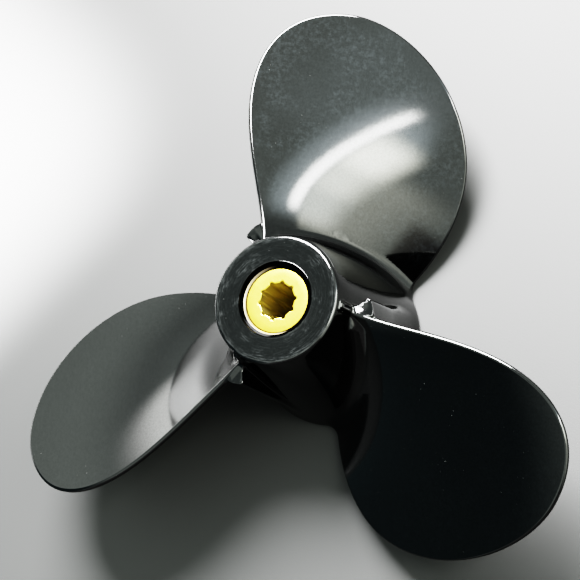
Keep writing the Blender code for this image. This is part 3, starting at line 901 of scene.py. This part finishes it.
class Nodes:
    """Short ways to add shader nodes to one tree."""

    def __init__(self, tree):
        self.tree = tree

    def feed(self, socket, value):
        if isinstance(value, bpy.types.NodeSocket):
            self.tree.links.new(value, socket)
        else:
            socket.default_value = value

    def fill(self, node, inputs):
        """A node's inputs by name or place: a socket is linked, and a constant is set on the input."""
        for name, value in inputs.items():
            self.feed(node.inputs[name], value)

    def math(self, operation, *values):
        node = self.tree.nodes.new("ShaderNodeMath")
        node.operation = operation
        for socket, value in zip(node.inputs, values):
            self.feed(socket, value)
        return node.outputs[0]

    def step(self, value, low, high):
        """0 below low and 1 above high, with a soft change between; low may lie above high."""
        node = self.tree.nodes.new("ShaderNodeMapRange")
        node.interpolation_type = "SMOOTHSTEP"
        rising = low < high
        ends = {"To Min": 0.0 if rising else 1.0, "To Max": 1.0 if rising else 0.0}
        self.fill(node, {"Value": value, "From Min": min(low, high), "From Max": max(low, high), **ends})
        return node.outputs[0]

    def product(self, *factors):
        whole = factors[0]
        for factor in factors[1:]:
            whole = self.math("MULTIPLY", whole, factor)
        return whole

    def total(self, *terms):
        whole = terms[0]
        for term in terms[1:]:
            whole = self.math("ADD", whole, term)
        return whole

    def scaled(self, value, low, high):
        node = self.tree.nodes.new("ShaderNodeMapRange")
        self.fill(node, {"Value": value, "To Min": low, "To Max": high})
        return node.outputs[0]

    def noise(self, vector, scale, detail=2.0, roughness=0.5):
        node = self.tree.nodes.new("ShaderNodeTexNoise")
        self.fill(node, {"Vector": vector, "Scale": scale, "Detail": detail, "Roughness": roughness})
        return node.outputs["Fac"]

    def mix(self, share, first, second):
        """Colour between two colours."""
        node = self.tree.nodes.new("ShaderNodeMix")
        node.data_type = "RGBA"
        self.fill(node, {"Factor": share, 6: first, 7: second})
        return node.outputs[2]

    def bump(self, height, strength, distance, normal=None):
        node = self.tree.nodes.new("ShaderNodeBump")
        self.fill(node, {"Strength": strength, "Distance": distance, "Height": height})
        if normal is not None:
            self.feed(node.inputs["Normal"], normal)
        return node.outputs["Normal"]

    def place(self, kind="Object"):
        """Position in the part's frame, whole and as x, y, z, or a direction of the world light."""
        coordinates = self.tree.nodes.new("ShaderNodeTexCoord")
        split = self.tree.nodes.new("ShaderNodeSeparateXYZ")
        self.tree.links.new(coordinates.outputs[kind], split.inputs[0])
        return coordinates.outputs[kind], *split.outputs

    def add_light(self, base, strength, tint):
        """Colour with a tinted light of that strength added to it."""
        light = self.tree.nodes.new("ShaderNodeVectorMath")
        light.operation = "SCALE"
        light.inputs[0].default_value = tint
        self.feed(light.inputs["Scale"], strength)
        whole = self.tree.nodes.new("ShaderNodeVectorMath")
        whole.operation = "ADD"
        self.feed(whole.inputs[0], base)
        self.feed(whole.inputs[1], light.outputs[0])
        return whole.outputs[0]

    def combine(self, x, y, z):
        node = self.tree.nodes.new("ShaderNodeCombineXYZ")
        for socket, value in zip(node.inputs, (x, y, z)):
            self.feed(socket, value)
        return node.outputs[0]

    def spots(self, place, noise, limits):
        """Where a noise passes its limits."""
        return self.step(self.noise(place, *noise), *limits)

    def drawn_noise(self, places, scales, detail, roughness):
        """Noise over two coordinates, each with its own scale."""
        drawn = [self.math("MULTIPLY", place, scale) for place, scale in zip(places, scales)]
        return self.noise(self.combine(*drawn, 0.0), 1.0, detail, roughness)

    def opposite(self, x, y):
        """Angle around the shaft in degrees, counted from the -X side."""
        back = [self.math("MULTIPLY", value, -1.0) for value in (y, x)]
        return self.math("DEGREES", self.math("ARCTAN2", *back))


def new_material(name):
    material = bpy.data.materials.new(name)
    material.use_nodes = True
    return material, Nodes(material.node_tree), material.node_tree.nodes["Principled BSDF"]


def polar(nodes, x, y):
    """Radius and angle around the shaft."""
    squares = nodes.math("ADD", nodes.math("MULTIPLY", x, x), nodes.math("MULTIPLY", y, y))
    return nodes.math("SQRT", squares), nodes.math("ARCTAN2", y, x)


def face_scratches(nodes, place, radius, turn, rings):
    """Turned scratches: fine rings everywhere, and rubbed arcs in patches and along the rim."""
    arcs = nodes.drawn_noise((radius, turn), *ARCS)
    patch = nodes.math("MAXIMUM", nodes.spots(place, *RUBBED), nodes.step(radius, *RUBBED_RIM))
    rubbed = nodes.product(nodes.step(arcs, *ARC_LIMITS), patch)
    fine = nodes.product(nodes.step(rings, *RING_LIMITS), RING_SHARE)
    return nodes.math("MAXIMUM", rubbed, fine)


def bare_on_lit_side(nodes, radius, x, y, z):
    """Bare metal on the bevel in the hole's mouth, painted only on the side of the shaft where the light
    falls, so that side is painted lighter; the shaded side keeps its black paint.
    """
    away = nodes.opposite(x, y)
    return nodes.product(
        nodes.step(radius, BARE_RADIUS + HALF_EDGE, BARE_RADIUS - HALF_EDGE),
        nodes.step(z, AFT_HEIGHT - BARE_DEPTH, AFT_HEIGHT - BARE_DEPTH + BARE_FADE),
        nodes.step(away, *LIT_SIDE_START),
        nodes.step(away, *LIT_SIDE_END),
    )


def paint_material():
    """Gloss black paint: fine grain, orange peel, dust, a faint mottled haze that is painted much stronger on
    the first blade as a sheen around its highlight, bare metal painted on the lit side of the hole's mouth,
    and turned scratches on the flat aft face.
    """
    material, nodes, shader = new_material("gloss_black")
    place, x, y, z = nodes.place()
    radius, turn = polar(nodes, x, y)
    face = nodes.step(z, *FACE_START)
    grain = nodes.noise(place, *GRAIN)
    cloud = nodes.noise(place, *CLOUD)
    speck = nodes.product(nodes.spots(place, *SPECK), nodes.spots(place, *DUSTY))
    rings = nodes.drawn_noise((radius, turn), *RINGS)
    scratch = nodes.product(face_scratches(nodes, place, radius, turn, rings), face)
    # Haze: faint mottling everywhere, and a painted sheen, much stronger on the first blade, around its
    # highlight.
    haze_and_sheen = nodes.product(
        nodes.spots(place, *HAZE_SHEEN_SPOTS),
        nodes.step(cloud, *HAZE_SHEEN_CLOUD_LIMITS),
        nodes.scaled(nodes.step(y, *SHEEN_BLADE_START), HAZE_SHEEN_LEAST, HAZE_SHEEN_MOST),
    )
    # Bare metal in the hole's mouth, painted only on its lit side.
    lit_side_bare = bare_on_lit_side(nodes, radius, x, y, z)
    tone = nodes.mix(grain, PAINT_DARK, PAINT_LIGHT)
    for share, colour in ((scratch, SCRATCH_TONE), (haze_and_sheen, HAZE_SHEEN_TONE), (speck, DUST_TONE), (lit_side_bare, BARE_LIT_SIDE_TONE)):
        tone = nodes.mix(share, tone, colour)
    rough = nodes.total(nodes.scaled(cloud, *PAINT_ROUGHNESS), nodes.product(speck, SPECK_ROUGHNESS))
    sunk = nodes.product(nodes.step(z, *SUNK_HEIGHTS), nodes.step(radius, *SUNK_RIM))
    gloss = nodes.product(
        nodes.scaled(nodes.step(grain, *GLOSS_GRAIN), *GLOSS_RANGE),
        nodes.math("SUBTRACT", 1.0, lit_side_bare),
        nodes.scaled(sunk, 1.0, SUNK_GLOSS),
    )
    peel = nodes.bump(nodes.noise(place, *PEEL), *PEEL_BUMP)
    turned = nodes.bump(nodes.product(rings, face), *RING_BUMP, peel)
    nodes.fill(shader, {
        "Base Color": tone,
        "Roughness": rough,
        "Metallic": lit_side_bare,
        "Specular IOR Level": 0.0,
        "Coat Weight": nodes.math("MINIMUM", gloss, 1.0),
        "Coat Roughness": COAT_ROUGHNESS,
        "Coat IOR": COAT_IOR,
        "Normal": nodes.bump(speck, *SPECK_BUMP, turned),
        "Coat Normal": turned,
    })
    return material


def brass_material():
    """Machined brass: turned end faces, and a duller bore with streaks along the shaft."""
    material, nodes, shader = new_material("machined_brass")
    place, x, y, z = nodes.place()
    radius, turn = polar(nodes, x, y)
    top = AFT_HEIGHT - SLEEVE_RECESS_AFT
    rim = SLEEVE_RADIUS - SLEEVE_CHAMFER
    bore = nodes.step(radius, *[SPLINE_MAJOR_RADIUS + margin for margin in BORE_MARGINS])
    deep = nodes.product(bore, nodes.step(z, *[top - depth for depth in DULL_DEPTHS]))
    # The outer chamfer, down in the hole's mouth, is coloured dark brown and made rougher.
    dark_chamfer = nodes.step(radius, rim - HALF_EDGE, rim + HALF_EDGE)
    cloud = nodes.noise(place, *BRASS_CLOUD)
    streak = nodes.drawn_noise((turn, z), *BORE_STREAKS)
    bright = nodes.mix(dark_chamfer, nodes.mix(cloud, BRASS_PALE, BRASS_YELLOW), BRASS_DARK_CHAMFER)
    dull = nodes.mix(streak, BRASS_BROWN, BRASS_OLIVE)
    rough = nodes.total(
        nodes.scaled(cloud, *BRASS_ROUGHNESS),
        nodes.product(deep, DEEP_ROUGHNESS),
        nodes.product(dark_chamfer, DARK_CHAMFER_ROUGHNESS),
    )
    turned = nodes.bump(nodes.drawn_noise((radius, turn), *BRASS_RINGS), *BRASS_RING_BUMP)
    nodes.fill(shader, {
        "Base Color": nodes.mix(deep, bright, dull),
        "Roughness": rough,
        "Metallic": 1.0,
        "Normal": nodes.bump(streak, *STREAK_BUMP, turned),
    })
    return material


def rubber_material():
    """Matt moulded rubber."""
    material, nodes, shader = new_material("moulded_rubber")
    place = nodes.place()[0]
    cloud = nodes.noise(place, *RUBBER_CLOUD)
    nodes.fill(shader, {
        "Base Color": nodes.mix(cloud, RUBBER_DARK, RUBBER_LIGHT),
        "Roughness": nodes.scaled(cloud, *RUBBER_ROUGHNESS),
        "Normal": nodes.bump(nodes.noise(place, *RUBBER_GRAIN), *RUBBER_BUMP),
    })
    return material


def floor_material():
    """Plain pale floor with a faint satin grain."""
    material, nodes, shader = new_material("pale_floor")
    place = nodes.place()[0]
    cloud = nodes.noise(place, *FLOOR_CLOUD)
    grain = nodes.noise(place, *FLOOR_GRAIN)
    tone = nodes.mix(cloud, FLOOR_DARK, FLOOR_LIGHT)
    nodes.fill(shader, {
        "Base Color": nodes.mix(nodes.scaled(grain, 0.0, FLOOR_GRAIN_MOST), tone, FLOOR_LIGHT),
        "Roughness": FLOOR_ROUGHNESS,
        "Specular IOR Level": FLOOR_GLOSS,
        "Normal": nodes.bump(grain, *FLOOR_BUMP),
    })
    return material


def build_floor():
    """A large pale floor under the forward rim."""
    half = FLOOR_HALF
    corners = [(-half, -half), (half, -half), (half, half), (-half, half)]
    mesh = bpy.data.meshes.new("floor")
    mesh.from_pydata([(x, y, FORWARD_HEIGHT) for x, y in corners], [], [(0, 1, 2, 3)])
    floor = add_object("floor", mesh)
    mesh.materials.append(floor_material())


def world_directions(nodes, x, y, z):
    """Directions of the studio's light in degrees, by the names that PATCHES uses."""
    around = nodes.math("DEGREES", nodes.math("ARCTAN2", y, x))
    rise = nodes.math("DEGREES", nodes.math("ARCSINE", z))
    bow = nodes.math("SUBTRACT", rise, WINDOW_BOW_CENTRE)
    bow = nodes.product(bow, bow, WINDOW_BOW)
    return {
        "around": around,
        "rise": rise,
        "off": nodes.total(nodes.math("SUBTRACT", around, WINDOW_EDGE), bow),
        "slope": nodes.math("SUBTRACT", around, nodes.product(rise, SLOPE_SLANT)),
        "opposite": nodes.opposite(x, y),
        "slanted": nodes.math("SUBTRACT", around, nodes.product(rise, STRIP_SLANT)),
    }


def build_world():
    """Soft studio light: one large soft window, a pale room on one side and a dark one on the other."""
    world = bpy.data.worlds.new("studio")
    bpy.context.scene.world = world
    world.use_nodes = True
    nodes = Nodes(world.node_tree)
    background = world.node_tree.nodes["Background"]
    ways = world_directions(nodes, *nodes.place("Generated")[1:])
    patch = {}
    for name, limits in PATCHES.items():
        patch[name] = nodes.product(*[nodes.step(ways[way], none, full) for way, none, full in limits])
    pane_light = nodes.total(
        PANE_LOW,
        nodes.product(nodes.step(ways["rise"], *PANE_MIDDLE_RISE), PANE_MIDDLE),
        nodes.product(nodes.step(ways["rise"], *PANE_HIGH_RISE), PANE_HIGH),
    )
    light = ROOM_LIGHT
    for name, tone in ROOM_TONES:
        light = nodes.mix(patch[name], light, tone)
    warm = nodes.total(nodes.product(patch["pane"], pane_light), nodes.product(patch["skirt"], SKIRT_LIGHT))
    cool = nodes.total(nodes.product(patch["glow"], GLOW_LIGHT), nodes.product(patch["high"], HIGH_LIGHT))
    light = nodes.add_light(light, nodes.product(patch["edge"], EDGE_LIGHT), EDGE_TINT)
    light = nodes.add_light(light, warm, PANE_TINT)
    light = nodes.add_light(light, cool, GLOW_TINT)
    nodes.feed(background.inputs["Color"], light)
    background.inputs["Strength"].default_value = 1.0


def soft_light(name, radiance, size, spread, place, turns):
    """A soft lamp that shines down its own Z: round when size is one number, else a rectangle."""
    light = bpy.data.lights.new(name, "AREA")
    light.spread = math.radians(spread)
    if isinstance(size, tuple):
        light.shape = "RECTANGLE"
        light.size, light.size_y = size
        area = size[0] * size[1]
    else:
        light.shape = "DISK"
        light.size = size
        area = 0.25 * math.pi * size * size
    light.energy = radiance * math.pi * area
    holder = add_object(name, light)
    holder.location = place
    holder.rotation_euler = turns


def build_lights():
    """A large lamp beyond the first blade's tip, and a low one that lays a band of light on the floor."""
    turn, rise = math.radians(KEY_AROUND), math.radians(KEY_RISE)
    way = Vector((math.cos(turn) * math.cos(rise), math.sin(turn) * math.cos(rise), math.sin(rise)))
    aim = way.to_track_quat("Z", "Y").to_euler()
    soft_light("key_light", KEY_RADIANCE, KEY_SIZE, KEY_SPREAD, KEY_DISTANCE * way, aim)
    along, across = Vector(BAND_ALONG), Vector(BAND_ACROSS)
    place = BAND_OFFSETS[0] * along + BAND_OFFSETS[1] * across
    place.z = FORWARD_HEIGHT + BAND_HEIGHT
    turns = (0.0, 0.0, math.atan2(across.y, across.x))
    soft_light("band_light", BAND_RADIANCE, BAND_SIZE, BAND_SPREAD, place, turns)


def build_camera():
    camera = bpy.data.cameras.new("camera")
    camera.sensor_width = SENSOR_WIDTH
    camera.lens = CAMERA_LENS
    camera.clip_start = 0.01
    camera.clip_end = 20.0
    holder = add_object("camera", camera)
    x, y, z = CAMERA_TURNS
    turn = Matrix.Rotation(z, 3, "Z") @ Matrix.Rotation(y, 3, "Y") @ Matrix.Rotation(x, 3, "X")
    holder.matrix_world = Matrix.Translation(CAMERA_PLACE) @ turn.transposed().to_4x4()
    bpy.context.scene.camera = holder


def dress(piece, node, material):
    """Puts a piece on the part in place of its CAD node."""
    piece.data.materials.clear()
    piece.data.materials.append(material)
    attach(piece, "root")
    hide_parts(node)


def set_view():
    view = bpy.context.scene.view_settings
    view.view_transform = "Filmic"
    view.look = "Very High Contrast"
    view.exposure = VIEW_EXPOSURE


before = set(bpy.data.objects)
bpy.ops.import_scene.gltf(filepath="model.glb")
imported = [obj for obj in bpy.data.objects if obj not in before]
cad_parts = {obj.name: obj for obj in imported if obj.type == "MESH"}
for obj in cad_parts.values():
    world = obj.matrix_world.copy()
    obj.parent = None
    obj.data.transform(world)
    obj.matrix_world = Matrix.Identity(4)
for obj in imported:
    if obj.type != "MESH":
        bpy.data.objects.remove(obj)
CAD_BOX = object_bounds()
build_camera()
build_world()
build_lights()
build_floor()
dress(casting_object(), "propeller_casting", paint_material())
dress(bush_object(), "rubber_bush", rubber_material())
dress(sleeve_object(), "splined_sleeve", brass_material())
set_view()
